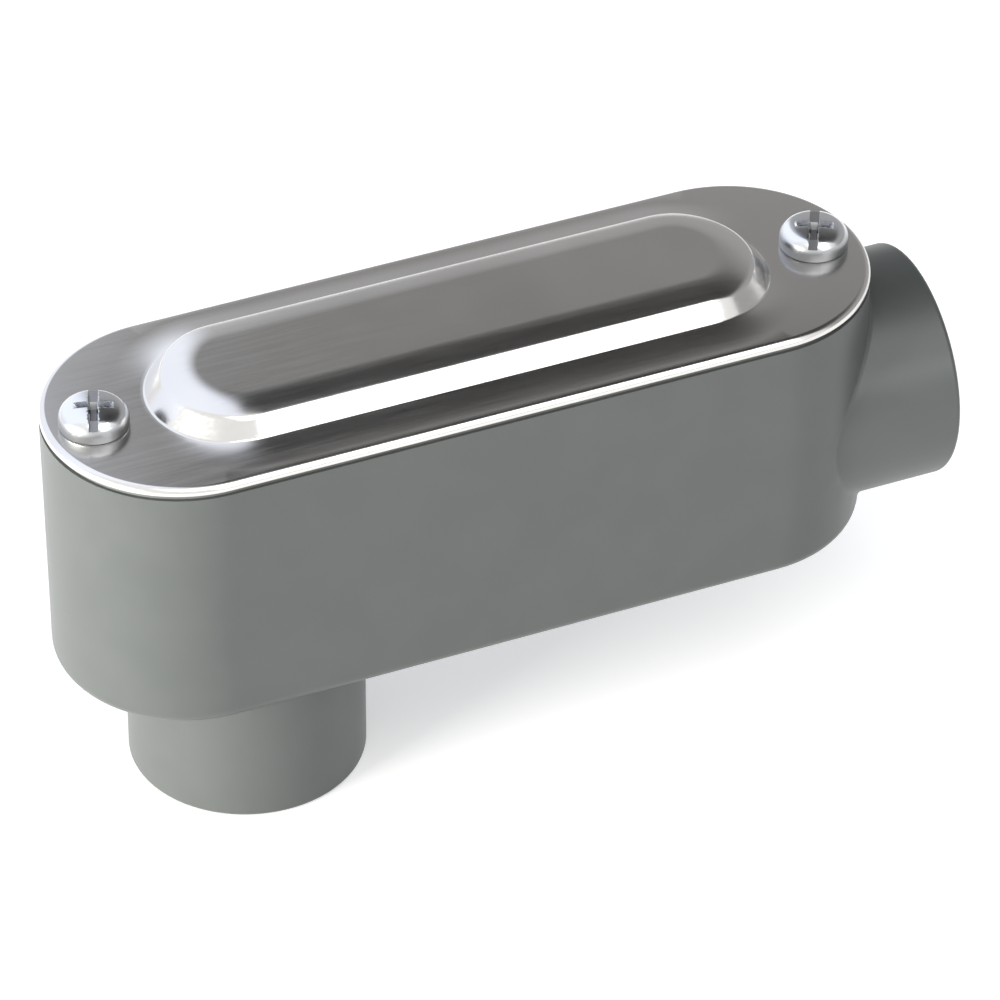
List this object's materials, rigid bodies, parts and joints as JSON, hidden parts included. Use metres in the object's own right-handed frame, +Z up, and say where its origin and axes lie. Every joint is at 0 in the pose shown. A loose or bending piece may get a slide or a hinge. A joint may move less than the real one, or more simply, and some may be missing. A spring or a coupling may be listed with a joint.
{
  "type": "conduit body",
  "caption": "Round-ended cast conduit body with threaded hubs at its back and end, closed by a gasketed, screwed-down sheet cover with a raised middle.",
  "frame": {"origin": "centre of the back hub's mouth", "axes": "+Z up the back hub's axis, through the housing to the cover; +X along the housing towards the end hub; +Y across it"},
  "size_m": [0.1275, 0.038, 0.0654],
  "materials": {
    "housing_enamel": "satin grey enamel with metal pigment over die-cast aluminium, bare where the threads are cut",
    "gasket_rubber": "plain matt grey sheet rubber",
    "cover_steel": "stamped bare sheet with a satin sheen",
    "screw_zinc": "bright zinc plate"
  },
  "bodies": {
    "housing": {"housing": "housing_enamel", "gasket": "gasket_rubber"},
    "cover": {"cover": "cover_steel"},
    "cover_screw_left": {"cover_screw_left": "screw_zinc"},
    "cover_screw_right": {"cover_screw_right": "screw_zinc"}
  },
  "joints": [
    {"name": "cover_lift", "type": "slide", "parent": "housing", "child": "cover", "axis": [0, 0, 1], "range_m": [0, 0.03]},
    {"name": "cover_screw_left_turn", "type": "hinge", "parent": "cover", "child": "cover_screw_left", "pos_m": [-0.0205, 0, 0.0613], "axis": [0, 0, 1], "continuous": true},
    {"name": "cover_screw_right_turn", "type": "hinge", "parent": "cover", "child": "cover_screw_right", "pos_m": [0.0845, 0, 0.0613], "axis": [0, 0, 1], "continuous": true}
  ]
}
